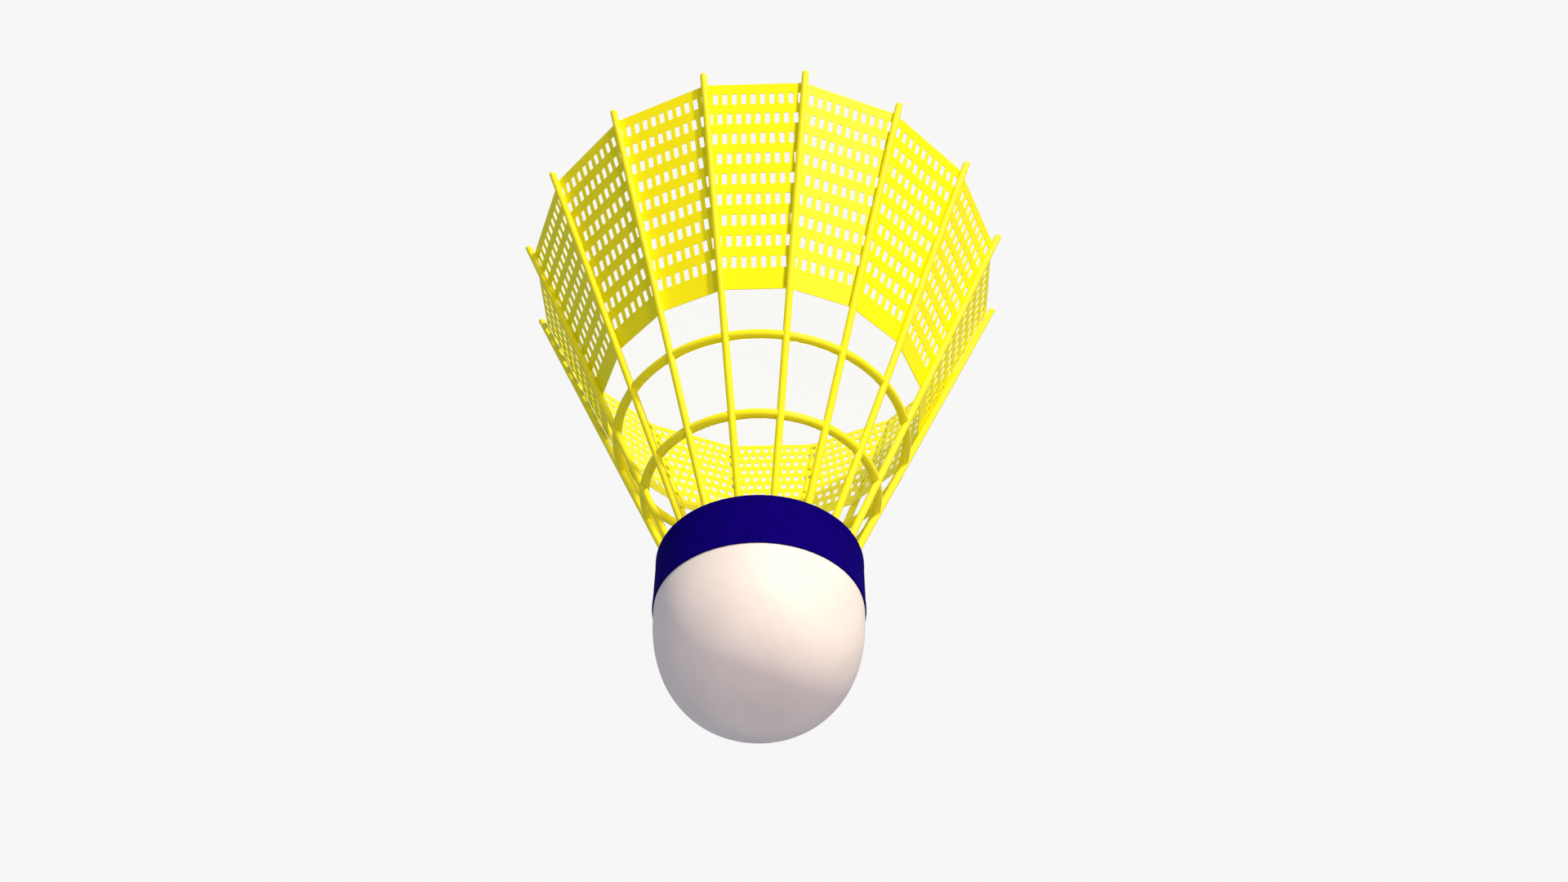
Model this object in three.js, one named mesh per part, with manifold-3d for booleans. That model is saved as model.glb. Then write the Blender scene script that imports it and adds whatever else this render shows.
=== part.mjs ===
// Badminton shuttlecock with a synthetic skirt: sixteen round ribs glued into a leather-covered cork base,
// two stiffening rings inside the ribs, and a flat mesh panel behind each pair of neighbouring ribs.
//
// Millimetres, +Z up. The shuttlecock stands on its rib tips with its nose up. The origin is the centre of the
// rim, in the plane that the tips stand on, and +Z is the axis of the skirt and of the base.
import * as THREE from "three";
import { mergeVertices } from "three/addons/utils/BufferGeometryUtils.js";
import Module from "manifold-3d";

const wasm = await Module();
wasm.setup();

// ---- Driving dimensions ----------------------------------------------------------------------------------

const RIB_COUNT = 16;
const GLUE_GAP = 0.05; // left between any two bonded pieces

const FACE_Z = 57.1; // the base's flat face, which the ribs enter
const RIM_RADIUS = 34.73; // circle through the rib centres at z = 0
const ROOT_RADIUS = 10.1; // circle through the rib centres at the base's face

const RIB_RADIUS = 0.47;
const RIB_BURIED = 8; // length of rib inside the cork
const RIB_SIDES = 12;

const RING_TUBE_RADIUS = 0.6;
const RING_SET_IN = 0.35; // from the ribs' centres in to the rings' centrelines
const RING_HEIGHTS = { stiffening_ring_upper: 45.6, stiffening_ring_lower: 35.8 };
const RING_SEGMENTS = 32;
const RING_SIDES = 8;

const PANEL_THICKNESS = 0.12;
const PANEL_RIM_Z = 0.85; // height of the panel's rim edge
const PANEL_INNER_Z = 29.5; // height of the panel's edge towards the base
const PANEL_EDGE_GAP = 0.05; // from a panel's side edge to the plane midway to its neighbour

const BASE_RADIUS = 12.38; // of the cylindrical part
const BASE_STRAIGHT = 7.55; // height of the cylindrical part
const NOSE_LENGTH = 14.7; // height of the domed part
const NOSE_POWER = 2.4; // superellipse exponent: 2 is an ellipse, and more is blunter
const NOSE_STEPS = 12;
const COVER_THICKNESS = 0.7;
const CORK_SPLIT = 9; // height of the cork body, which holds the rib sockets
const BASE_SEGMENTS = 32;

const BAND_HEIGHT = 7.45;
const BAND_RADIUS = 12.57;
const BAND_THICKNESS = 0.17;

// ---- Derived dimensions ----------------------------------------------------------------------------------

const RIB_PITCH = (2 * Math.PI) / RIB_COUNT;
const RIB_SLOPE = (RIM_RADIUS - ROOT_RADIUS) / FACE_Z; // radius lost for each millimetre of height
const RIB_TILT = Math.atan(RIB_SLOPE);
const RIB_LENGTH = FACE_Z / Math.cos(RIB_TILT) + RIB_BURIED;
const ribRadiusAt = (z) => RIM_RADIUS - RIB_SLOPE * z;

// ---- Materials -------------------------------------------------------------------------------------------

const nylon = new THREE.MeshStandardMaterial({ color: 0xf9f21c, roughness: 0.38, metalness: 0 });
const leather = new THREE.MeshStandardMaterial({ color: 0xf3ede8, roughness: 0.5, metalness: 0 });
const ribbon = new THREE.MeshStandardMaterial({ color: 0x10006e, roughness: 0.55, metalness: 0 });
const naturalCork = new THREE.MeshStandardMaterial({ color: 0xc79a66, roughness: 0.85, metalness: 0 });
const granulatedCork = new THREE.MeshStandardMaterial({ color: 0xa97a4b, roughness: 0.9, metalness: 0 });

// ---- Helpers ---------------------------------------------------------------------------------------------

function solidFrom(geometry) {
  const bare = geometry.clone();
  bare.deleteAttribute("normal");
  bare.deleteAttribute("uv");
  const merged = mergeVertices(bare, 1e-4);
  return new wasm.Manifold(
    new wasm.Mesh({
      numProp: 3,
      vertProperties: new Float32Array(merged.attributes.position.array),
      triVerts: new Uint32Array(merged.index.array),
    }),
  );
}

function geometryFrom(solid) {
  const mesh = solid.getMesh();
  const geometry = new THREE.BufferGeometry();
  geometry.setAttribute("position", new THREE.BufferAttribute(mesh.vertProperties, 3));
  geometry.setIndex(new THREE.BufferAttribute(mesh.triVerts, 1));
  geometry.computeVertexNormals();
  return geometry;
}

function namedMesh(name, geometry, material) {
  const mesh = new THREE.Mesh(geometry, material);
  mesh.name = name;
  return mesh;
}

// Turns a profile of [radius, height] points about the Z axis.
function turned(profile) {
  const points = profile.map(([radius, z]) => new THREE.Vector2(radius, z));
  return new THREE.LatheGeometry(points, BASE_SEGMENTS).rotateX(Math.PI / 2);
}

const twoDigits = (n) => String(n).padStart(2, "0");

// ---- Skirt -----------------------------------------------------------------------------------------------

// A rod in the place of the rib at angle 0, in the XZ plane. It is larger than the rib by `clearance`, and runs
// on past the tip.
function ribRod(clearance) {
  const overrun = 2;
  const radius = RIB_RADIUS + clearance;
  const length = RIB_LENGTH + clearance + overrun;
  const rod = new THREE.CylinderGeometry(radius, radius, length, RIB_SIDES);
  rod.rotateX(Math.PI / 2);
  rod.translate(0, 0, length / 2 - overrun);
  rod.rotateY(-RIB_TILT);
  return rod.translate(RIM_RADIUS, 0, 0);
}

// The rib's tip is cut level, so that the skirt stands on sixteen small flats.
function ribGeometry() {
  const size = 10;
  const belowTips = new THREE.BoxGeometry(size, size, size).translate(RIM_RADIUS, 0, -size / 2);
  return geometryFrom(solidFrom(ribRod(0)).subtract(solidFrom(belowTips)));
}

// All the ribs with the glue around them, which cuts the seats in the rings and the sockets in the cork.
function ribClearance() {
  const rods = [];
  for (let i = 0; i < RIB_COUNT; i++) {
    rods.push(solidFrom(ribRod(GLUE_GAP).rotateZ((i + 0.5) * RIB_PITCH)));
  }
  return rods.reduce((joined, rod) => joined.add(rod));
}

// The ring's outer side is notched where each rib passes, so that it seats on the ribs' inner sides.
function ringGeometry(z, ribs) {
  const radius = ribRadiusAt(z) - RING_SET_IN;
  const torus = new THREE.TorusGeometry(radius, RING_TUBE_RADIUS, RING_SIDES, RING_SEGMENTS);
  return geometryFrom(solidFrom(torus.translate(0, 0, z)).subtract(ribs));
}

// One mesh panel's outline as a plain sheet, centred on angle 0. It lies flat behind two ribs, just clear of them,
// and its side edges run down behind the ribs' centrelines.
function panelGeometry() {
  const halfPitch = RIB_PITCH / 2;
  const slope = RIB_SLOPE * Math.cos(halfPitch);
  const tilt = Math.atan(slope);
  const setBack = RIB_RADIUS + GLUE_GAP;
  // Distance from the axis to the sheet's outer face, midway between the ribs.
  const faceRadius = (z) => ribRadiusAt(z) * Math.cos(halfPitch) - setBack / Math.cos(tilt);
  // The side edges are set by the inner face, which is nearer the axis and so narrower.
  const halfWidth = (z) => {
    const innerRadius = faceRadius(z) - PANEL_THICKNESS * Math.cos(tilt);
    return innerRadius * Math.tan(halfPitch) - PANEL_EDGE_GAP;
  };
  const length = (PANEL_INNER_Z - PANEL_RIM_Z) / Math.cos(tilt);
  const outline = new THREE.Shape();
  outline.moveTo(-halfWidth(PANEL_RIM_Z), 0);
  outline.lineTo(halfWidth(PANEL_RIM_Z), 0);
  outline.lineTo(halfWidth(PANEL_INNER_Z), length);
  outline.lineTo(-halfWidth(PANEL_INNER_Z), length);
  outline.closePath();
  const sheet = new THREE.ExtrudeGeometry(outline, { depth: PANEL_THICKNESS, bevelEnabled: false });
  sheet.translate(0, 0, -PANEL_THICKNESS); // the outer face is now at z = 0
  sheet.rotateX(Math.PI / 2).rotateZ(Math.PI / 2); // width along Y, length along Z, outer face towards +X
  sheet.rotateY(-tilt);
  return sheet.translate(faceRadius(PANEL_RIM_Z), 0, PANEL_RIM_Z);
}

function skirt(ribs) {
  const group = new THREE.Group();
  const rib = ribGeometry();
  const panel = panelGeometry();
  for (let i = 0; i < RIB_COUNT; i++) {
    const ribMesh = namedMesh(`rib_${twoDigits(i + 1)}`, rib, nylon);
    ribMesh.rotation.z = (i + 0.5) * RIB_PITCH;
    const panelMesh = namedMesh(`mesh_panel_${twoDigits(i + 1)}`, panel, nylon);
    panelMesh.rotation.z = (i + 1) * RIB_PITCH;
    group.add(ribMesh, panelMesh);
  }
  for (const [name, z] of Object.entries(RING_HEIGHTS)) {
    group.add(namedMesh(name, ringGeometry(z, ribs), nylon));
  }
  return group;
}

// ---- Base ------------------------------------------------------------------------------------------------
// The base group's z = 0 is its flat face, and its nose points up.

// The side of the base from height `from` up to `to`, both left out, a distance `inset` inside its outer surface.
function sideProfile(inset, from, to = Infinity) {
  const points = [];
  for (let i = 0; i <= NOSE_STEPS; i++) {
    const angle = (Math.PI / 2) * (i / NOSE_STEPS);
    const z = BASE_STRAIGHT + (NOSE_LENGTH - inset) * Math.sin(angle) ** (2 / NOSE_POWER);
    points.push([sideRadiusAt(z, inset), z]);
  }
  return points.filter(([, z]) => z > from && z < to);
}

function sideRadiusAt(z, inset) {
  const share = Math.max(0, z - BASE_STRAIGHT) / (NOSE_LENGTH - inset);
  return (BASE_RADIUS - inset) * Math.max(0, 1 - share ** NOSE_POWER) ** (1 / NOSE_POWER);
}

// A soft skin from the base's face over the nose. Its outer side is pressed in a little where the band grips it.
function coverGeometry() {
  const bandSeat = BAND_RADIUS - BAND_THICKNESS - GLUE_GAP;
  const bore = [BASE_RADIUS - COVER_THICKNESS, 0];
  return turned([
    bore,
    [bandSeat, 0],
    [bandSeat, BAND_HEIGHT],
    [sideRadiusAt(BAND_HEIGHT, 0), BAND_HEIGHT],
    ...sideProfile(0, BAND_HEIGHT),
    ...sideProfile(COVER_THICKNESS, 0).reverse(),
    bore,
  ]);
}

function bandGeometry() {
  const inside = BAND_RADIUS - BAND_THICKNESS;
  const top = BAND_HEIGHT - GLUE_GAP;
  return turned([
    [inside, 0],
    [BAND_RADIUS, 0],
    [BAND_RADIUS, top],
    [inside, top],
    [inside, 0],
  ]);
}

// The solid nose of natural cork.
function corkNoseGeometry() {
  const inset = COVER_THICKNESS + GLUE_GAP;
  const bottom = CORK_SPLIT + GLUE_GAP;
  return turned([[0, bottom], [sideRadiusAt(bottom, inset), bottom], ...sideProfile(inset, bottom)]);
}

// The block of granulated cork that the ribs are glued into.
function corkBodyGeometry(ribs) {
  const inset = COVER_THICKNESS + GLUE_GAP;
  const block = turned([
    [0, 0],
    [BASE_RADIUS - inset, 0],
    ...sideProfile(inset, 0, CORK_SPLIT),
    [sideRadiusAt(CORK_SPLIT, inset), CORK_SPLIT],
    [0, CORK_SPLIT],
  ]);
  return geometryFrom(solidFrom(block).subtract(ribs.translate([0, 0, -FACE_Z])));
}

function base(ribs) {
  const group = new THREE.Group();
  group.position.z = FACE_Z;
  group.add(
    namedMesh("cork_body", corkBodyGeometry(ribs), granulatedCork),
    namedMesh("cork_nose", corkNoseGeometry(), naturalCork),
    namedMesh("base_cover", coverGeometry(), leather),
    namedMesh("base_band", bandGeometry(), ribbon),
  );
  return group;
}

// ---- Assembly --------------------------------------------------------------------------------------------

const ribSpace = ribClearance();
const shuttlecock = new THREE.Group();
shuttlecock.add(skirt(ribSpace), base(ribSpace));

export default shuttlecock;
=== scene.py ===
"""Badminton shuttlecock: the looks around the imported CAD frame.

The frame stands on its rib tips with the nose up, in metres: +Z is the axis of the skirt and of the base.
Sizes below are in millimetres, and angles in radians, unless they say otherwise.
"""

import math

import bmesh
import bpy
from mathutils import Matrix, Vector
from mathutils.geometry import delaunay_2d_cdt


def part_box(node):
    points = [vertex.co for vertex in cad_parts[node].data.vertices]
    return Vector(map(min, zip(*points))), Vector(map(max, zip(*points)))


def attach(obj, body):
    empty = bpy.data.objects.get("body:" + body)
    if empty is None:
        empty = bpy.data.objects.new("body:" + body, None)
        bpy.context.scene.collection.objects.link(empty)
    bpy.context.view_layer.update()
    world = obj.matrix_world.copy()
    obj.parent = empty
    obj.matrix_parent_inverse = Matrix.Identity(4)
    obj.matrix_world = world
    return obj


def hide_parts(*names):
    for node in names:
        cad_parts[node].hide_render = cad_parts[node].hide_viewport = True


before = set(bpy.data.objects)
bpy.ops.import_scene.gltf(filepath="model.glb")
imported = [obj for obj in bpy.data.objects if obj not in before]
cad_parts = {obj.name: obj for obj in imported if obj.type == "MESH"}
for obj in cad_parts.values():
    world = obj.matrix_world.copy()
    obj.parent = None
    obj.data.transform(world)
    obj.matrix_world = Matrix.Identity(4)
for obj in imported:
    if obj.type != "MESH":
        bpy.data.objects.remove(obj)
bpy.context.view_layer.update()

MM = 0.001

# ---- Sizes read from the frame ----------------------------------------------------------------------------


def node_box(node):
    """A CAD node's lowest and highest corners, in millimetres."""
    low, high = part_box(node)
    return low / MM, high / MM


def middle_height(node):
    """The height midway between a CAD node's lowest and highest points."""
    low, high = node_box(node)
    return (low.z + high.z) / 2


RIBS = sorted(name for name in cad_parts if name.startswith("rib_"))
PANELS = sorted(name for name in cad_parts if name.startswith("mesh_panel_"))
RINGS = ("stiffening_ring_upper", "stiffening_ring_lower")
PITCH = 2 * math.pi / len(RIBS)

FACE_Z = node_box("cork_body")[0].z  # the base's flat face, which the ribs enter
NOSE_Z = node_box("base_cover")[1].z
BAND_TOP_Z = node_box("base_band")[1].z
BAND_RADIUS = node_box("base_band")[1].x
RIB_END_Z = node_box(RIBS[0])[1].z
PANEL_BOX = node_box(PANELS[0])

# ---- Driving sizes ----------------------------------------------------------------------------------------

RIM_RADIUS = 34.73  # circle through the rib centres at z = 0
ROOT_RADIUS = 10.1  # circle through the rib centres at the base's face
RIB_SLOPE = (RIM_RADIUS - ROOT_RADIUS) / FACE_Z
RIB_TILT = math.atan(RIB_SLOPE)
RIB_RADIUS = 0.47
RIB_TIP_ROUND = 0.1
RIB_FLARE = 0.14  # extra radius of the bead where a rib enters the cork
RIB_FLARE_LENGTH = 0.7
GLUE_DEPTH = 0.05  # the bead reaches this far into the socket
RIB_END_GAP = 0.3  # the rod stops this much below the CAD rib's end
RIB_SIDES = 24
RIB_SHANK_STEPS = 10
RIB_TIP_STEPS = 4
RIB_FLARE_STEPS = 6

RING_TUBE_RADIUS = 0.6
RING_SET_IN = 0.35  # from the ribs' centres in to the ring's centreline
RING_SWELL = 0.02  # extra tube radius where a rib is moulded to the ring
RING_SWELL_REACH = 1.1  # along the ring, to each side of a rib
RING_SEGMENTS = 192
RING_SIDES = 20

PANEL_THICKNESS = 0.12
PANEL_SET_BACK = 0.52  # from the plane through the ribs' centrelines to the sheet's outer face
PANEL_EDGE_GAP = 0.05  # from a sheet's inner side edge to the plane midway to the next sheet
PANEL_EDGE_ROUND = 0.028  # width of the bevel along the sheet's edges
PANEL_SLOPE = RIB_SLOPE * math.cos(PITCH / 2)
PANEL_TILT = math.atan(PANEL_SLOPE)
PANEL_RIM_Z = PANEL_BOX[0].z + PANEL_THICKNESS * math.sin(PANEL_TILT)  # of the outer face
PANEL_LENGTH = (PANEL_BOX[1].z - PANEL_RIM_Z) / math.cos(PANEL_TILT)

SLOT_ROWS = 9
SLOT_ROW_PITCH = 3.104
SLOT_FIRST_ROW = 2.36  # from the panel's rim edge to the middle of the first row
SLOT_PITCH = 1.2485
SLOT_SHIFT = 0.21  # of the first row's middle slot from the panel's centreline
SLOT_WIDTH = 0.62
SLOT_HEIGHT = 1.63
SLOT_CORNER = 0.09  # radius
SLOT_CORNER_STEPS = 3
THINNEST_BAR = 0.14  # a slot that would leave less than this at the sheet's side runs out through it

COVER_RADIUS = 12.38
COVER_STRAIGHT = 7.55  # height of the cylindrical part
COVER_POWER = 2.4  # superellipse exponent of the dome: 2 is an ellipse, and more is blunter
COVER_THICKNESS = 0.7
COVER_CHAMFER = 0.15  # on the lower edge
COVER_SEAT_DROP = 0.15  # the leather starts to swell this much below the band's top
COVER_SWELL = 0.5  # height over which it comes out from its seat under the band to its full radius
COVER_SWELL_STEPS = 6
COVER_SWELL_GAP = 0.1  # least height between the swell and the dome's next point
COVER_SEGMENTS = 160
COVER_STEPS = 40

BAND_THICKNESS = 0.17
BAND_SEGMENTS = 320
BAND_SEAT_GAP = 0.03  # between the leather and the band's inner face
BAND_FOOT_GAP = 0.02  # the band starts this much above the base's face
BAND_EDGE_ROUND = 0.07
BAND_EDGE_STEPS = 4
BAND_SELVEDGE = 0.5  # width of the firmer border along each edge
BAND_SELVEDGE_DIP = 0.035  # the woven face lies this much below the selvedges
BAND_SELVEDGE_STEP = 0.12  # height over which the face dips
BAND_LAP_AZIMUTH = 90.0  # degrees, so at the back
BAND_LAP_LENGTH = 5.0
BAND_LAP_RISE = 0.12
BAND_THREADS = 264  # round the band
BAND_PICK = 0.42  # spacing of the threads that run along the band

FLOOR_RADIUS = 2200.0
FLOOR_BEND = 600.0  # radius of the curve between the floor and its low wall
FLOOR_BEND_STEPS = 12
FLOOR_WALL = 1500.0  # height of the wall's top
FLOOR_SEGMENTS = 96
FLOOR_COLOUR = (0.04, 0.04, 0.04)
FLOOR_GLOW = 0.909

# The camera stands above the floor but upside down, so the nose is at the bottom of the picture. Its angles
# are in degrees, and its direction is seen from the point that it looks at.
CAMERA_LENS = 34.61
CAMERA_SENSOR = 36
CAMERA_AZIMUTH = -91.7116
CAMERA_ELEVATION = 46.685
CAMERA_ROLL = -179.992
CAMERA_TARGET = Vector((-2.9009, 0.0867, 34.8167))
CAMERA_DISTANCE = 198.213
CAMERA_CLIP_START = 5.0
CAMERA_CLIP_END = 20000.0

WORLD_COLOUR = (0.426, 0.4175, 0.464)
# Each sun: its name, the azimuth and elevation in degrees that it shines from, its colour, its strength as
# the brightness of a white surface that faces it, and its apparent width in degrees. Light from the top of
# the picture comes from below the floor, which shades nothing.
SUNS = (
    ("key", -120.8, -24.4, (1, 0.852, 0.662), 0.9975, 5),
    ("fill", -119.2, 20.6, (1, 0.663, 0.502), 0.311, 12),
    ("back", 88.3, -38, (1, 0.97, 0.94), 0.45, 8),
)


def rib_circle(z):
    """Radius of the circle through the rib centres at height z."""
    return RIM_RADIUS - RIB_SLOPE * z


def polar(radius, angle, z):
    """The point at a radius, an angle in radians counted from +X towards +Y, and a height."""
    return Vector((radius * math.cos(angle), radius * math.sin(angle), z))


# ---- Material helpers -------------------------------------------------------------------------------------


class Look:
    """A principled material under construction, with its texture coordinates in millimetres."""

    def __init__(self, name, colour, roughness, specular=0.5):
        self.material = bpy.data.materials.new(name)
        self.material.use_nodes = True
        self.tree = self.material.node_tree
        self.shader = self.tree.nodes["Principled BSDF"]
        self.shader.inputs["Base Color"].default_value = (*colour, 1)
        self.shader.inputs["Roughness"].default_value = roughness
        self.shader.inputs["Specular IOR Level"].default_value = specular
        place = self.node("ShaderNodeTexCoord").outputs["Object"]
        scaled = self.node("ShaderNodeVectorMath", operation="SCALE")
        scaled.inputs["Scale"].default_value = 1 / MM
        self.link(place, scaled.inputs[0])
        self.place = scaled.outputs[0]
        self.normal = None

    def node(self, kind, **settings):
        made = self.tree.nodes.new(kind)
        for key, value in settings.items():
            setattr(made, key, value)
        return made

    def link(self, source, target):
        self.tree.links.new(source, target)

    def axes(self):
        """The coordinates in millimetres, one socket each."""
        made = self.node("ShaderNodeSeparateXYZ")
        self.link(self.place, made.inputs[0])
        return made.outputs

    def noise(self, size, detail=4, roughness=0.5):
        """Noise whose features are about `size` millimetres across."""
        made = self.node("ShaderNodeTexNoise")
        made.inputs["Scale"].default_value = 1 / size
        made.inputs["Detail"].default_value = detail
        made.inputs["Roughness"].default_value = roughness
        self.link(self.place, made.inputs["Vector"])
        return made.outputs["Fac"]

    def warped(self, reach, size):
        """The coordinates pushed about by up to `reach` millimetres, over `size` millimetres."""
        push = self.node("ShaderNodeTexNoise")
        push.inputs["Scale"].default_value = 1 / size
        self.link(self.place, push.inputs["Vector"])
        moved = self.node("ShaderNodeVectorMath", operation="MULTIPLY_ADD")
        self.link(push.outputs["Color"], moved.inputs[0])
        moved.inputs[1].default_value = (2 * reach, 2 * reach, 2 * reach)
        self.link(self.place, moved.inputs[2])
        return moved.outputs[0]

    def cells(self, size, feature="F1", smoothness=None, vector=None):
        """Cells about `size` millimetres across, as the whole texture node."""
        made = self.node("ShaderNodeTexVoronoi", feature=feature)
        made.inputs["Scale"].default_value = 1 / size
        if smoothness is not None:
            made.inputs["Smoothness"].default_value = smoothness
        self.link(vector or self.place, made.inputs["Vector"])
        return made

    def math(self, operation, *values):
        """A maths node. Each value is a number or a socket."""
        made = self.node("ShaderNodeMath", operation=operation)
        for socket, value in zip(made.inputs, values):
            if isinstance(value, (int, float)):
                socket.default_value = value
            else:
                self.link(value, socket)
        return made.outputs[0]

    def ripple(self, phase):
        """A wave between 0 and 1 that repeats each time the phase passes a whole number."""
        wave = self.math("SINE", self.math("MULTIPLY", phase, 2 * math.pi))
        return self.math("MULTIPLY_ADD", wave, 0.5, 0.5)

    def spread(self, source, low, high, to_low, to_high):
        """Maps low..high to to_low..to_high, and holds the value at both ends."""
        made = self.node("ShaderNodeMapRange")
        for key, value in zip(("From Min", "From Max", "To Min", "To Max"), (low, high, to_low, to_high)):
            made.inputs[key].default_value = value
        self.link(source, made.inputs["Value"])
        return made.outputs["Result"]

    def mix(self, factor, first, second):
        """A colour between two others. Each is a colour or a socket."""
        made = self.node("ShaderNodeMix", data_type="RGBA")
        self.link(factor, made.inputs["Factor"])
        for socket, value in ((made.inputs[6], first), (made.inputs[7], second)):
            if isinstance(value, tuple):
                socket.default_value = (*value, 1)
            else:
                self.link(value, socket)
        return made.outputs[2]

    def colour(self, source):
        self.link(source, self.shader.inputs["Base Color"])

    def roughness(self, source):
        self.link(source, self.shader.inputs["Roughness"])

    def bump(self, height, depth, strength=1.0):
        """Adds relief: `height` runs from 0 to 1, and `depth` is its size in millimetres."""
        made = self.node("ShaderNodeBump")
        made.inputs["Strength"].default_value = strength
        made.inputs["Distance"].default_value = depth * MM
        self.link(height, made.inputs["Height"])
        if self.normal:
            self.link(self.normal, made.inputs["Normal"])
        self.normal = made.outputs["Normal"]
        self.link(self.normal, self.shader.inputs["Normal"])


# ---- Materials --------------------------------------------------------------------------------------------


def nylon_look(name, colour, shade, specular, translucency):
    """Moulded nylon: a satin skin with faint flow marks and a little light coming through."""
    look = Look(name, colour, 0.42, specular)
    flow = look.noise(3.0, detail=3)
    look.colour(look.mix(look.spread(flow, 0.35, 0.7, 0, 1), colour, shade))
    look.roughness(look.spread(look.noise(1.1, detail=5), 0.3, 0.7, 0.36, 0.5))
    look.bump(look.noise(0.22, detail=3), 0.006)
    look.shader.inputs["Subsurface Weight"].default_value = translucency
    look.shader.inputs["Subsurface Radius"].default_value = (1.0, 0.8, 0.15)
    look.shader.inputs["Subsurface Scale"].default_value = 0.6 * MM
    return look.material


def leather_look():
    """Thin coated leather: fine pebbled grain, pores and a soft sheen."""
    white, warm = (0.83, 0.80, 0.78), (0.78, 0.745, 0.72)
    look = Look("cover_leather", white, 0.5, specular=0.35)
    look.colour(look.mix(look.spread(look.noise(5.0, detail=4), 0.35, 0.7, 0, 1), white, warm))
    look.roughness(look.spread(look.noise(1.6), 0.3, 0.7, 0.44, 0.58))
    look.bump(look.noise(2.4, detail=2), 0.02, strength=0.25)
    grain = look.cells(0.38, feature="SMOOTH_F1", smoothness=0.6)
    look.bump(look.spread(grain.outputs["Distance"], 0.0, 0.8, 1, 0), 0.014, strength=0.4)
    look.bump(look.noise(0.11, detail=2), 0.005)
    return look.material


def band_look():
    """Navy ribbon tape: fine cross threads between two plain selvedges, with painted shade in the grooves of
    the weave.
    """
    navy, deep = (0.0044, 0.0002, 0.162), (0.0032, 0.0001, 0.128)
    look = Look("band_tape", navy, 0.7, specular=0.005)
    x, y, z = look.axes()
    turn = look.math("ARCTAN2", y, x)
    threads = look.ripple(look.math("MULTIPLY", turn, BAND_THREADS / (2 * math.pi)))
    picks = look.ripple(look.math("DIVIDE", z, BAND_PICK))
    weave = look.math("MULTIPLY", threads, look.math("MULTIPLY_ADD", picks, 0.3, 0.7))
    # Darker where the threads dip, which is painted shade in the weave's grooves, and darker or lighter at
    # random as well.
    shade = look.math("MULTIPLY", look.noise(1.5, detail=5), look.math("MULTIPLY_ADD", weave, -0.5, 1.3))
    look.colour(look.mix(look.spread(shade, 0.35, 0.75, 0, 1), navy, deep))
    look.bump(weave, 0.035, strength=0.7)
    look.bump(look.noise(0.12, detail=3), 0.008)
    return look.material


def cork_look(name, granule, light, dark, fleck):
    """Cork: uneven grains of mixed browns, with dark flecks and broken dark lines between them."""
    look = Look(name, light, 0.85, specular=0.15)
    bent = look.warped(0.35 * granule, 0.8 * granule)
    parts = look.node("ShaderNodeSeparateColor")
    look.link(look.cells(granule, vector=bent).outputs["Color"], parts.inputs["Color"])
    fine = look.math("MULTIPLY", look.noise(0.25 * granule, detail=5), 0.5)
    grains = look.mix(look.math("MULTIPLY_ADD", parts.outputs["Red"], 0.6, fine), light, dark)
    gap = look.cells(granule, feature="DISTANCE_TO_EDGE", vector=bent).outputs["Distance"]
    broken = look.spread(look.noise(0.7 * granule), 0.4, 0.6, 0, 0.9)
    lines = look.math("MULTIPLY", look.spread(gap, 0.0, 0.07, 1, 0), broken)
    specks = look.spread(look.noise(0.4 * granule, detail=2), 0.62, 0.68, 0, 1)
    look.colour(look.mix(look.math("MAXIMUM", lines, specks), grains, fleck))
    look.bump(look.spread(gap, 0.0, 0.2, 0, 1), 0.05, strength=0.5)
    look.bump(look.noise(0.25, detail=4), 0.03)
    return look.material


# One material for each slot of the record.
MATERIALS = {
    "rib_nylon": nylon_look(
        "rib_nylon",
        colour=(0.93, 0.89, 0.005),
        shade=(0.90, 0.85, 0.004),
        specular=0.3,
        translucency=0.03,
    ),
    "mesh_nylon": nylon_look(
        "mesh_nylon",
        colour=(0.93, 0.905, 0.003),
        shade=(0.91, 0.88, 0.002),
        specular=0.15,
        translucency=0.02,
    ),
    "cover_leather": leather_look(),
    "band_tape": band_look(),
    "granulated_cork": cork_look(
        "granulated_cork",
        granule=1.1,
        light=(0.5, 0.29, 0.13),
        dark=(0.3, 0.15, 0.06),
        fleck=(0.1, 0.05, 0.02),
    ),
    "natural_cork": cork_look(
        "natural_cork",
        granule=2.2,
        light=(0.62, 0.4, 0.21),
        dark=(0.5, 0.29, 0.13),
        fleck=(0.22, 0.11, 0.04),
    ),
}

# ---- Mesh helpers -----------------------------------------------------------------------------------------


def add_piece(name, mesh, slot, node, smooth=True):
    """Puts a finished mesh, in millimetres, into the scene in place of a CAD node."""
    mesh.transform(Matrix.Scale(MM, 4))
    mesh.materials.append(MATERIALS[slot])
    if smooth:
        mesh.shade_smooth()
    else:
        mesh.shade_flat()
    piece = bpy.data.objects.new(name, mesh)
    bpy.context.scene.collection.objects.link(piece)
    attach(piece, "root")
    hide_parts(node)


def finished_mesh(name, mesh):
    """Turns a closed bmesh into a mesh whose faces point outwards."""
    bmesh.ops.recalc_face_normals(mesh, faces=mesh.faces)
    made = bpy.data.meshes.new(name)
    mesh.to_mesh(made)
    mesh.free()
    return made


def swept_mesh(name, rings, looped=False):
    """A skin over rings of points, the same number in each. Its ends are closed, or joined to each other."""
    mesh = bmesh.new()
    rows = [[mesh.verts.new(point) for point in ring] for ring in rings]
    pairs = list(zip(rows, rows[1:]))
    if looped:
        pairs.append((rows[-1], rows[0]))
    for lower, upper in pairs:
        for i in range(len(lower)):
            j = (i + 1) % len(lower)
            mesh.faces.new((lower[i], lower[j], upper[j], upper[i]))
    if not looped:
        mesh.faces.new(list(reversed(rows[0])))
        mesh.faces.new(rows[-1])
    return finished_mesh(name, mesh)


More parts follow.
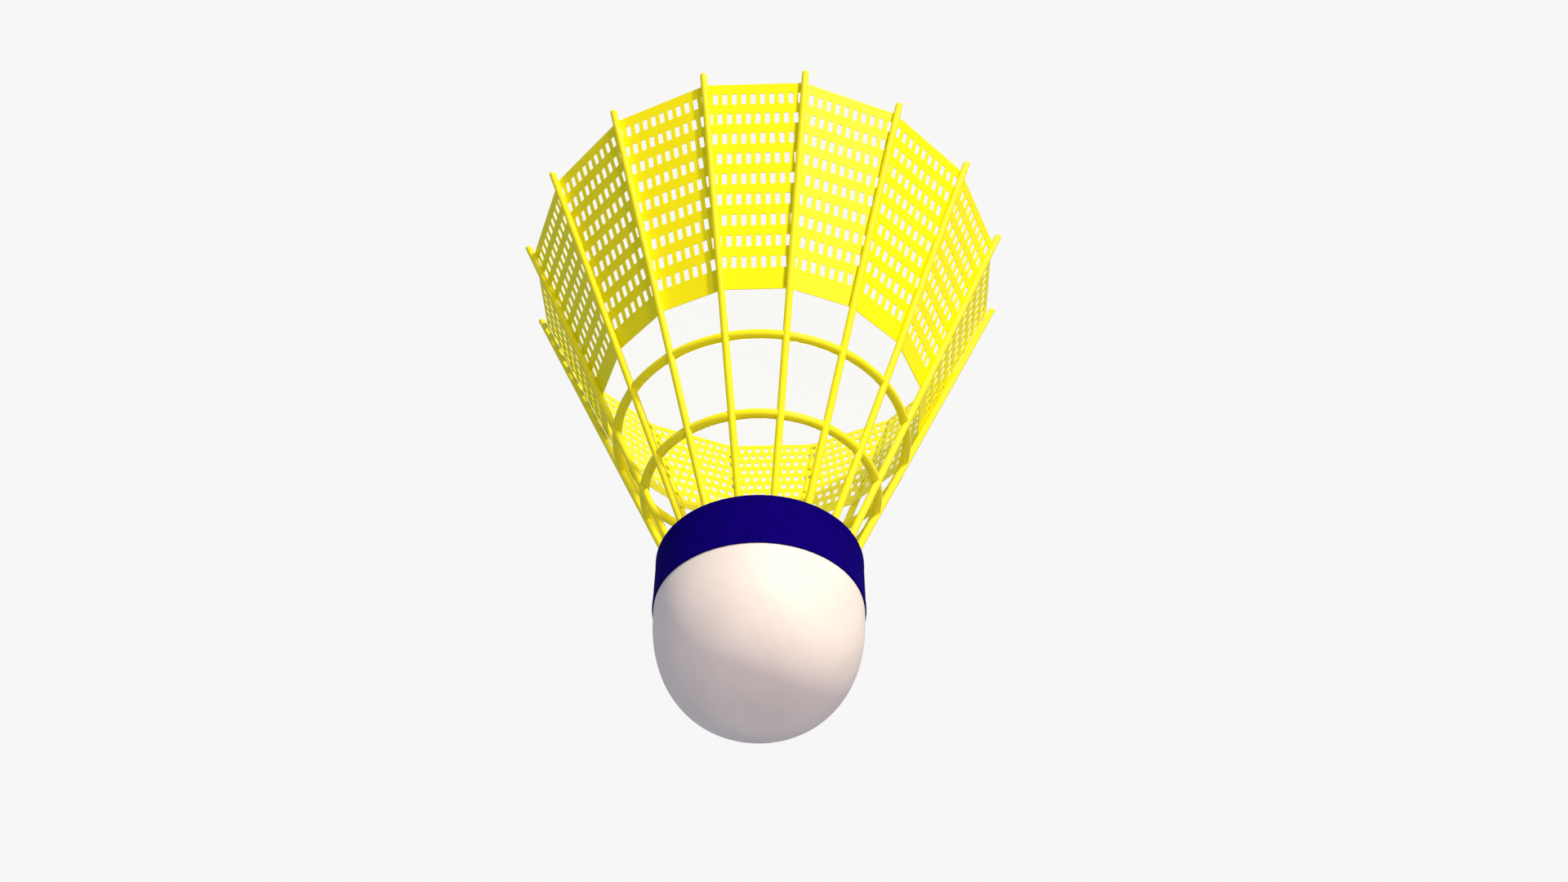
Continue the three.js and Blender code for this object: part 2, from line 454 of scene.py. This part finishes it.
def turned_mesh(name, profile, segments, radius_shift=None):
    """A profile of (radius, z) points turned about the Z axis. Without a point on the axis, it is a loop.

    `radius_shift` gives what to add to a radius at an angle.
    """
    mesh = bmesh.new()
    columns = []
    poles = {k: mesh.verts.new((0, 0, z)) for k, (radius, z) in enumerate(profile) if radius == 0}
    for s in range(segments):
        angle = 2 * math.pi * s / segments
        column = []
        for k, (radius, z) in enumerate(profile):
            if k in poles:
                column.append(poles[k])
            else:
                shift = radius_shift(angle, radius) if radius_shift else 0
                column.append(mesh.verts.new(polar(radius + shift, angle, z)))
        columns.append(column)
    steps = list(zip(range(len(profile)), range(1, len(profile))))
    if not poles:
        steps.append((len(profile) - 1, 0))
    for s in range(segments):
        here, there = columns[s], columns[(s + 1) % segments]
        for a, b in steps:
            corners = dict.fromkeys((here[a], there[a], there[b], here[b]))
            if len(corners) > 2:
                mesh.faces.new(list(corners))
    return finished_mesh(name, mesh)


def quarter_turn(steps):
    """The angles from 0 to 90 degrees in even steps."""
    return [math.pi / 2 * step / steps for step in range(steps + 1)]


# ---- Ribs -------------------------------------------------------------------------------------------------


def rib_sections():
    """(height, radius) pairs: a rounded tip, a straight shank and a bead where the rib enters the cork."""
    sections = []
    for turn in quarter_turn(RIB_TIP_STEPS):
        height = RIB_TIP_ROUND * (1 - math.cos(turn))
        sections.append((height, RIB_RADIUS - RIB_TIP_ROUND * (1 - math.sin(turn))))
    bead_z = FACE_Z - RIB_FLARE_LENGTH
    for step in range(1, RIB_SHANK_STEPS + 1):
        sections.append((RIB_TIP_ROUND + (bead_z - RIB_TIP_ROUND) * step / RIB_SHANK_STEPS, RIB_RADIUS))
    for turn in quarter_turn(RIB_FLARE_STEPS)[1:]:
        flare = RIB_FLARE * (1 - math.cos(turn))
        sections.append((bead_z + RIB_FLARE_LENGTH * math.sin(turn), RIB_RADIUS + flare))
    sections.append((FACE_Z + GLUE_DEPTH, RIB_RADIUS))
    sections.append((RIB_END_Z - RIB_END_GAP, RIB_RADIUS))
    return sections


def rib_mesh(angle):
    """A round rod along one rib. Its level sections are ellipses, because it leans towards the axis."""
    out = polar(1, angle, 0)
    across = polar(1, angle + math.pi / 2, 0)
    rings = []
    for z, radius in rib_sections():
        centre = polar(rib_circle(z), angle, z)
        reach = radius / math.cos(RIB_TILT)
        ring = []
        for side in range(RIB_SIDES):
            turn = 2 * math.pi * side / RIB_SIDES
            ring.append(centre + out * (reach * math.cos(turn)) + across * (radius * math.sin(turn)))
        rings.append(ring)
    return swept_mesh("rib", rings)


def make_ribs():
    for i, node in enumerate(RIBS):
        add_piece(f"skirt_{node}", rib_mesh((i + 0.5) * PITCH), "rib_nylon", node)


# ---- Stiffening rings -------------------------------------------------------------------------------------


def ring_mesh(z):
    """A torus that swells a little where each rib is moulded to it."""
    radius = rib_circle(z) - RING_SET_IN
    rings = []
    for s in range(RING_SEGMENTS):
        angle = 2 * math.pi * s / RING_SEGMENTS
        from_rib = ((angle / PITCH) % 1 - 0.5) * PITCH * radius
        tube = RING_TUBE_RADIUS + RING_SWELL * math.exp(-((from_rib / RING_SWELL_REACH) ** 2))
        ring = []
        for side in range(RING_SIDES):
            turn = 2 * math.pi * side / RING_SIDES
            ring.append(polar(radius + tube * math.cos(turn), angle, z + tube * math.sin(turn)))
        rings.append(ring)
    return swept_mesh("ring", rings, looped=True)


def make_rings():
    for node in RINGS:
        add_piece(f"skirt_{node}", ring_mesh(middle_height(node)), "rib_nylon", node)


# ---- Mesh panels ------------------------------------------------------------------------------------------

# A panel is drawn flat, with u across it and v up it from its rim edge.


def panel_face_radius(z):
    """Distance from the axis to the sheet's outer face at height z, midway between two ribs."""
    return rib_circle(z) * math.cos(PITCH / 2) - PANEL_SET_BACK / math.cos(PANEL_TILT)


def panel_half_width(v):
    """Half the sheet's width at v, set by its inner face, which is the first to meet the next sheet."""
    z = PANEL_RIM_Z + v * math.cos(PANEL_TILT)
    inner = panel_face_radius(z) - PANEL_THICKNESS * math.cos(PANEL_TILT)
    return inner * math.tan(PITCH / 2) - PANEL_EDGE_GAP


def slot_outline(left, right, middle_v):
    """An upright slot with rounded corners, anticlockwise."""
    points = []
    straight_v = SLOT_HEIGHT / 2 - SLOT_CORNER
    corners = ((right, 1, 1), (left, -1, 1), (left, -1, -1), (right, 1, -1))
    for quarter, (side_u, sign_u, sign_v) in enumerate(corners):
        for step in range(SLOT_CORNER_STEPS + 1):
            angle = math.pi / 2 * (quarter + step / SLOT_CORNER_STEPS)
            u = side_u - sign_u * SLOT_CORNER + SLOT_CORNER * math.cos(angle)
            v = middle_v + sign_v * straight_v + SLOT_CORNER * math.sin(angle)
            points.append(Vector((u, v)))
    return points


def panel_slots():
    """The outlines of the staggered rows of slots."""
    past_edge = 1.0
    slots = []
    for row in range(SLOT_ROWS):
        middle_v = SLOT_FIRST_ROW + row * SLOT_ROW_PITCH
        edge = panel_half_width(middle_v)
        shift = SLOT_SHIFT + (row % 2) * SLOT_PITCH / 2
        most = math.ceil(edge / SLOT_PITCH) + 1
        for column in range(-most, most + 1):
            left = shift + column * SLOT_PITCH - SLOT_WIDTH / 2
            right = left + SLOT_WIDTH
            if left > edge - THINNEST_BAR or right < THINNEST_BAR - edge:
                continue
            if right > edge - THINNEST_BAR:
                right = edge + past_edge
            if left < THINNEST_BAR - edge:
                left = -edge - past_edge
            slots.append(slot_outline(left, right, middle_v))
    return slots


def flat_panel():
    """The panel's outline with its slots cut out, as flat faces."""
    wide, narrow = panel_half_width(0), panel_half_width(PANEL_LENGTH)
    outline = [Vector(p) for p in ((-wide, 0), (wide, 0), (narrow, PANEL_LENGTH), (-narrow, PANEL_LENGTH))]
    points, loops = [], []
    for loop in [outline, *panel_slots()]:
        loops.append(list(range(len(points), len(points) + len(loop))))
        points += loop
    inside_only = 1  # the mode that leaves out triangles beyond every loop
    same_point = 1e-6  # points nearer than this are merged
    found, _, triangles, _, _, owners = delaunay_2d_cdt(points, [], loops, inside_only, same_point)
    mesh = bmesh.new()
    verts = [mesh.verts.new((p.x, p.y, 0)) for p in found]
    for triangle, owner in zip(triangles, owners):
        in_sheet_alone = list(owner) == [0]
        if in_sheet_alone:
            mesh.faces.new([verts[i] for i in triangle])
    bmesh.ops.delete(mesh, geom=[v for v in mesh.verts if not v.link_faces], context="VERTS")
    bmesh.ops.dissolve_limit(mesh, angle_limit=0.001, verts=mesh.verts, edges=mesh.edges)
    return mesh


def panel_mesh():
    """The perforated sheet with its thickness and soft edges."""
    mesh = flat_panel()
    raised = bmesh.ops.extrude_face_region(mesh, geom=list(mesh.faces))["geom"]
    back = [part for part in raised if isinstance(part, bmesh.types.BMVert)]
    bmesh.ops.translate(mesh, vec=(0, 0, -PANEL_THICKNESS), verts=back)
    bmesh.ops.recalc_face_normals(mesh, faces=mesh.faces)
    sharp_angle = math.radians(80)
    sharp = [edge for edge in mesh.edges if edge.calc_face_angle(0) > sharp_angle]
    rims = [edge for edge in sharp if edge.verts[0].co.z == edge.verts[1].co.z]
    bmesh.ops.bevel(
        mesh,
        geom=rims,
        offset=PANEL_EDGE_ROUND,
        segments=1,
        affect="EDGES",
        clamp_overlap=False,
    )
    return finished_mesh("panel", mesh)


def make_panels():
    sheet = panel_mesh()
    # From the flat sheet to a panel on +X: u runs along +Y, v up the slope, and the outer face is outside.
    stand = Matrix(((0, 0, 1, 0), (1, 0, 0, 0), (0, 1, 0, 0), (0, 0, 0, 1)))
    lean = Matrix.Rotation(-PANEL_TILT, 4, "Y")
    shift = Matrix.Translation((panel_face_radius(PANEL_RIM_Z), 0, PANEL_RIM_Z))
    for number, node in enumerate(PANELS, start=1):
        mesh = sheet.copy()
        mesh.transform(Matrix.Rotation(number * PITCH, 4, "Z") @ shift @ lean @ stand)
        add_piece(f"skirt_{node}", mesh, "mesh_nylon", node, smooth=False)
    bpy.data.meshes.remove(sheet)


# ---- Base -------------------------------------------------------------------------------------------------


def cover_radius(height, inset=0.0):
    """Outer radius of the leather at a height above the base's face."""
    dome = NOSE_Z - FACE_Z - COVER_STRAIGHT - inset
    share = max(0.0, height - COVER_STRAIGHT) / dome
    return (COVER_RADIUS - inset) * max(0.0, 1 - share**COVER_POWER) ** (1 / COVER_POWER)


def dome_side(inset):
    """Points from the top of the cylindrical part to the middle of the nose."""
    dome = NOSE_Z - FACE_Z - COVER_STRAIGHT - inset
    points = []
    for turn in quarter_turn(COVER_STEPS)[:-1]:
        height = COVER_STRAIGHT + dome * math.sin(turn) ** (2 / COVER_POWER)
        points.append((cover_radius(height, inset), height))
    return [*points, (0.0, COVER_STRAIGHT + dome)]


def cover_profile():
    """The leather's closed section, from the face, up its outer side, over the nose and back inside."""
    seat = BAND_RADIUS - BAND_THICKNESS - BAND_SEAT_GAP
    seat_top = BAND_TOP_Z - FACE_Z - COVER_SEAT_DROP
    swell_top = seat_top + COVER_SWELL
    outer = [(COVER_RADIUS - COVER_THICKNESS, 0.0), (seat - COVER_CHAMFER, 0.0)]
    outer += [(seat, COVER_CHAMFER), (seat, seat_top)]
    for turn in quarter_turn(COVER_SWELL_STEPS)[1:]:
        height = seat_top + COVER_SWELL * (1 - math.cos(turn))
        outer.append((seat + (cover_radius(swell_top) - seat) * math.sin(turn), height))
    above = [point for point in dome_side(0.0) if point[1] > swell_top + COVER_SWELL_GAP]
    points = outer + above + dome_side(COVER_THICKNESS)[::-1]
    return [(radius, height + FACE_Z) for radius, height in points]


def make_cover():
    mesh = turned_mesh("cover", cover_profile(), COVER_SEGMENTS)
    add_piece("leather_cover", mesh, "cover_leather", "base_cover")


def band_lap(angle, radius):
    """How much the outer face stands out over the lap, where one end of the ribbon lies on the other."""
    if radius < BAND_RADIUS - BAND_THICKNESS / 2:
        return 0
    along = ((angle - math.radians(BAND_LAP_AZIMUTH)) % (2 * math.pi)) * BAND_RADIUS
    return BAND_LAP_RISE * max(0.0, 1 - along / BAND_LAP_LENGTH)


def band_profile():
    """The ribbon's closed section: soft edges, and a face that dips a little between its selvedges."""
    inside = BAND_RADIUS - BAND_THICKNESS
    low, high = FACE_Z + BAND_FOOT_GAP, BAND_TOP_Z
    top, bottom = [], []
    for turn in quarter_turn(BAND_EDGE_STEPS):
        radius = BAND_RADIUS - BAND_EDGE_ROUND * (1 - math.sin(turn))
        drop = BAND_EDGE_ROUND * (1 - math.cos(turn))
        top.append((radius, high - drop))
        bottom.append((radius, low + drop))
    dip = BAND_RADIUS - BAND_SELVEDGE_DIP
    face = [(BAND_RADIUS, high - BAND_SELVEDGE), (dip, high - BAND_SELVEDGE - BAND_SELVEDGE_STEP)]
    face += [(dip, low + BAND_SELVEDGE + BAND_SELVEDGE_STEP), (BAND_RADIUS, low + BAND_SELVEDGE)]
    return [(inside, low), (inside, high), *top, *face, *bottom[::-1]]


def make_band():
    mesh = turned_mesh("band", band_profile(), BAND_SEGMENTS, band_lap)
    add_piece("ribbon_band", mesh, "band_tape", "base_band")


def finish_cork():
    """The two corks keep their CAD shape and get a material."""
    for node, slot in (("cork_body", "granulated_cork"), ("cork_nose", "natural_cork")):
        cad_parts[node].material_slots[0].material = MATERIALS[slot]


# ---- Stage, light and camera ------------------------------------------------------------------------------


def floor_look():
    """A pale, evenly glowing surface from above, and clear from below."""
    pale = bpy.data.materials.new("pale_floor")
    pale.use_nodes = True
    tree = pale.node_tree
    shader = tree.nodes["Principled BSDF"]
    shader.inputs["Base Color"].default_value = (*FLOOR_COLOUR, 1)
    shader.inputs["Roughness"].default_value = 1.0
    shader.inputs["Specular IOR Level"].default_value = 0.0
    shader.inputs["Emission Color"].default_value = (1, 1, 1, 1)
    shader.inputs["Emission Strength"].default_value = FLOOR_GLOW
    side = tree.nodes.new("ShaderNodeNewGeometry")
    clear = tree.nodes.new("ShaderNodeBsdfTransparent")
    choice = tree.nodes.new("ShaderNodeMixShader")
    tree.links.new(side.outputs["Backfacing"], choice.inputs[0])
    tree.links.new(shader.outputs[0], choice.inputs[1])
    tree.links.new(clear.outputs[0], choice.inputs[2])
    tree.links.new(choice.outputs[0], tree.nodes["Material Output"].inputs["Surface"])
    return pale


def make_floor():
    """A pale sweep: a disc whose edge curves up into a low wall. It lights nothing and shades nothing."""
    flat = FLOOR_RADIUS - FLOOR_BEND
    profile = [(0, 0)]
    for turn in quarter_turn(FLOOR_BEND_STEPS):
        profile.append((flat + FLOOR_BEND * math.sin(turn), FLOOR_BEND * (1 - math.cos(turn))))
    profile.append((FLOOR_RADIUS, FLOOR_WALL))
    mesh = turned_mesh("floor", profile, FLOOR_SEGMENTS)
    mesh.flip_normals()  # so that its faces point up
    mesh.transform(Matrix.Scale(MM, 4))
    mesh.shade_smooth()
    mesh.materials.append(floor_look())
    floor = bpy.data.objects.new("floor", mesh)
    bpy.context.scene.collection.objects.link(floor)
    floor.visible_diffuse = False
    floor.visible_glossy = False
    floor.visible_shadow = False


def direction(azimuth, elevation):
    """The unit vector towards an azimuth, counted from +X towards +Y, and an elevation, in degrees."""
    a, e = math.radians(azimuth), math.radians(elevation)
    return Vector((math.cos(e) * math.cos(a), math.cos(e) * math.sin(a), math.sin(e)))


def add_sun(name, azimuth, elevation, colour, strength, width):
    light = bpy.data.lights.new(name, "SUN")
    light.color = colour
    light.energy = strength * math.pi
    light.angle = math.radians(width)
    sun = bpy.data.objects.new(name, light)
    sun.rotation_euler = direction(azimuth, elevation).to_track_quat("Z", "Y").to_euler()
    bpy.context.scene.collection.objects.link(sun)


def make_lights():
    world = bpy.data.worlds.new("studio")
    bpy.context.scene.world = world
    world.use_nodes = True
    background = world.node_tree.nodes["Background"]
    background.inputs["Color"].default_value = (*WORLD_COLOUR, 1)
    background.inputs["Strength"].default_value = 1.0
    for sun in SUNS:
        add_sun(*sun)


def make_camera():
    camera = bpy.data.cameras.new("camera")
    camera.lens = CAMERA_LENS
    camera.sensor_width = CAMERA_SENSOR
    camera.clip_start = CAMERA_CLIP_START * MM
    camera.clip_end = CAMERA_CLIP_END * MM
    view = direction(CAMERA_AZIMUTH, CAMERA_ELEVATION)
    place = (CAMERA_TARGET + view * CAMERA_DISTANCE) * MM
    back = view.to_track_quat("Z", "Y").to_matrix().to_4x4()
    roll = Matrix.Rotation(math.radians(CAMERA_ROLL), 4, "Z")
    camera_object = bpy.data.objects.new("camera", camera)
    camera_object.matrix_world = Matrix.Translation(place) @ back @ roll
    bpy.context.scene.collection.objects.link(camera_object)
    bpy.context.scene.camera = camera_object


make_ribs()
make_rings()
make_panels()
make_cover()
make_band()
finish_cork()
make_floor()
make_lights()
make_camera()
bpy.context.scene.view_settings.view_transform = "Standard"
